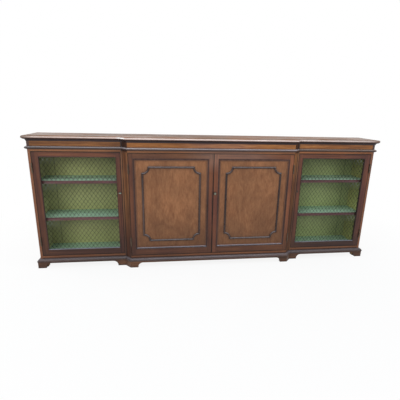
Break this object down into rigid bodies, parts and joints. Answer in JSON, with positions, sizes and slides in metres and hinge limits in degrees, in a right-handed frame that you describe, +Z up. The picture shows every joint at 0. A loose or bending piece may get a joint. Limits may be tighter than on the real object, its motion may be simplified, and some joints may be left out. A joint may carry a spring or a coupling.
{
  "type": "breakfront sideboard",
  "caption": "Low breakfront sideboard with panelled doors in the middle, wire-fronted shelved wings at the sides and a plinth with bracket feet.",
  "frame": {"origin": "on the floor, in the middle of the whole piece's width and depth", "axes": "+X to the right seen from the front, +Y from the front to the back, +Z up"},
  "size_m": [2.4, 0.306, 0.9],
  "materials": {
    "mahogany": "waxed, satin",
    "dark_mahogany": "waxed, satin",
    "satinwood": "waxed, satin",
    "panel_brown": "waxed, satin",
    "green_paint": "matt paint",
    "old_brass": "dulled",
    "old_iron": "dark, worn"
  },
  "bodies": {
    "carcass": {"top_board": "mahogany", "cornice_moulding": "dark_mahogany", "astragal_moulding": "dark_mahogany", "plinth_moulding": "dark_mahogany", "carcass_top": "mahogany", "carcass_floor": "green_paint", "left_end_panel": "mahogany", "right_end_panel": "mahogany", "left_partition": "green_paint", "right_partition": "green_paint", "left_corner_post": "mahogany", "right_corner_post": "mahogany", "back_panels": "green_paint", "frieze_boards": "satinwood", "top_rails": "satinwood", "bottom_rails": "satinwood", "door_stops": "mahogany", "left_wing_shelves": "green_paint", "right_wing_shelves": "green_paint", "centre_shelf": "mahogany", "shelf_lippings": "dark_mahogany", "shelf_bearers": "green_paint", "plinth_front": "dark_mahogany", "plinth_ends": "dark_mahogany", "plinth_back": "dark_mahogany", "glue_blocks": "mahogany", "carcass_hinge_leaves": "old_brass", "hinge_pins": "old_brass", "strike_plates": "old_brass"},
    "left_wing_door": {"left_wing_door_frame": "mahogany", "left_wing_grille": "old_brass", "left_wing_grille_beads": "mahogany", "left_wing_hinge_leaves": "old_brass", "left_wing_lock": "old_iron", "left_wing_escutcheon": "old_iron"},
    "right_wing_door": {"right_wing_door_frame": "mahogany", "right_wing_grille": "old_brass", "right_wing_grille_beads": "mahogany", "right_wing_hinge_leaves": "old_brass", "right_wing_lock": "old_iron", "right_wing_escutcheon": "old_iron"},
    "left_centre_door": {"left_centre_door_frame": "mahogany", "left_centre_panel": "panel_brown", "left_centre_panel_moulding": "dark_mahogany", "left_centre_applied_moulding": "dark_mahogany", "left_centre_hinge_leaves": "old_brass", "slide_bolt_plates": "old_brass"},
    "right_centre_door": {"right_centre_door_frame": "mahogany", "right_centre_panel": "panel_brown", "right_centre_panel_moulding": "dark_mahogany", "right_centre_applied_moulding": "dark_mahogany", "right_centre_hinge_leaves": "old_brass", "centre_lock": "old_brass"},
    "left_wing_lock_bolt": {"left_wing_lock_bolt": "old_brass"},
    "right_wing_lock_bolt": {"right_wing_lock_bolt": "old_brass"},
    "centre_lock_bolt": {"centre_lock_bolt": "old_brass"},
    "left_wing_key": {"left_wing_key": "old_brass"},
    "centre_knob": {"centre_knob": "old_brass"},
    "upper_slide_bolt": {"upper_slide_bolt": "old_iron"},
    "lower_slide_bolt": {"lower_slide_bolt": "old_iron"}
  },
  "joints": [
    {"name": "left_wing_door_hinge", "type": "hinge", "parent": "carcass", "child": "left_wing_door", "pos_m": [-1.16125, -0.093, 0.443], "axis": [0, 0, -1], "range_deg": [0, 175]},
    {"name": "right_wing_door_hinge", "type": "hinge", "parent": "carcass", "child": "right_wing_door", "pos_m": [1.16125, -0.093, 0.443], "axis": [0, 0, 1], "range_deg": [0, 175]},
    {"name": "left_centre_door_hinge", "type": "hinge", "parent": "carcass", "child": "left_centre_door", "pos_m": [-0.56225, -0.136, 0.443], "axis": [0, 0, -1], "range_deg": [0, 165]},
    {"name": "right_centre_door_hinge", "type": "hinge", "parent": "carcass", "child": "right_centre_door", "pos_m": [0.56225, -0.136, 0.443], "axis": [0, 0, 1], "range_deg": [0, 165]},
    {"name": "left_wing_key_turn", "type": "hinge", "parent": "left_wing_door", "child": "left_wing_key", "pos_m": [-0.6245, -0.088, 0.528], "axis": [0, 1, 0], "range_deg": [0, 90]},
    {"name": "left_wing_bolt_slide", "type": "slide", "parent": "left_wing_door", "child": "left_wing_lock_bolt", "axis": [1, 0, 0], "range_m": [0, 0.008]},
    {"name": "right_wing_bolt_slide", "type": "slide", "parent": "right_wing_door", "child": "right_wing_lock_bolt", "axis": [-1, 0, 0], "range_m": [0, 0.008]},
    {"name": "centre_knob_turn", "type": "hinge", "parent": "right_centre_door", "child": "centre_knob", "pos_m": [0.013, -0.131, 0.528], "axis": [0, 1, 0], "range_deg": [0, 90]},
    {"name": "centre_bolt_slide", "type": "slide", "parent": "right_centre_door", "child": "centre_lock_bolt", "axis": [-1, 0, 0], "range_m": [0, 0.008]},
    {"name": "upper_slide_bolt_slide", "type": "slide", "parent": "left_centre_door", "child": "upper_slide_bolt", "axis": [0, 0, 1], "range_m": [0, 0.012]},
    {"name": "lower_slide_bolt_slide", "type": "slide", "parent": "left_centre_door", "child": "lower_slide_bolt", "axis": [0, 0, -1], "range_m": [0, 0.012]}
  ],
  "couplings": [
    {"joint": "left_wing_bolt_slide", "follows": "left_wing_key_turn", "m_per_rad": 0.005092},
    {"joint": "centre_bolt_slide", "follows": "centre_knob_turn", "m_per_rad": 0.005092}
  ]
}
